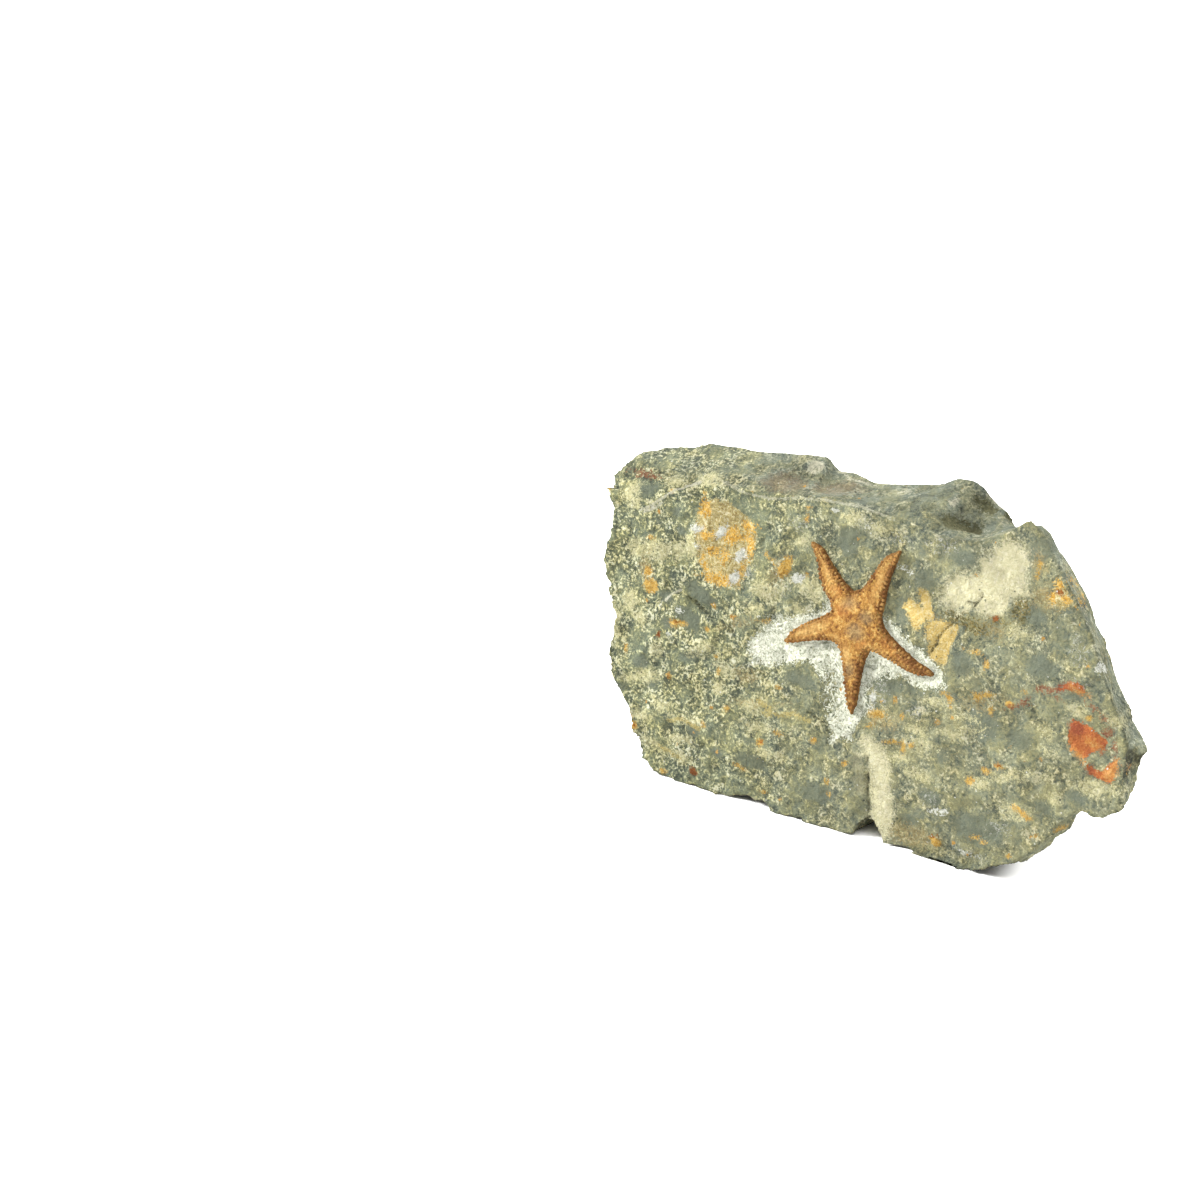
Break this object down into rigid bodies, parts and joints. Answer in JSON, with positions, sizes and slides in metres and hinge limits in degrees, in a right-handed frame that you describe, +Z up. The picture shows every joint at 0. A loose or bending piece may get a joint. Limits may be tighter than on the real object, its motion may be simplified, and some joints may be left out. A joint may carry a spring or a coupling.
{
  "type": "fossil starfish",
  "caption": "Fossil starfish in low relief on the leaning split face of a rough stone block that stands on a flat underside.",
  "frame": {"origin": "on the ground under the middle of the block: the bottom centre of its bounding box", "axes": "+X to the right along the split face, +Y into the block away from the face, +Z up"},
  "size_m": [0.1932, 0.0538, 0.108],
  "materials": {
    "rock": "matte",
    "starfish": "matte"
  },
  "bodies": {
    "root": {"rock": "rock", "starfish": "starfish"}
  },
  "joints": []
}
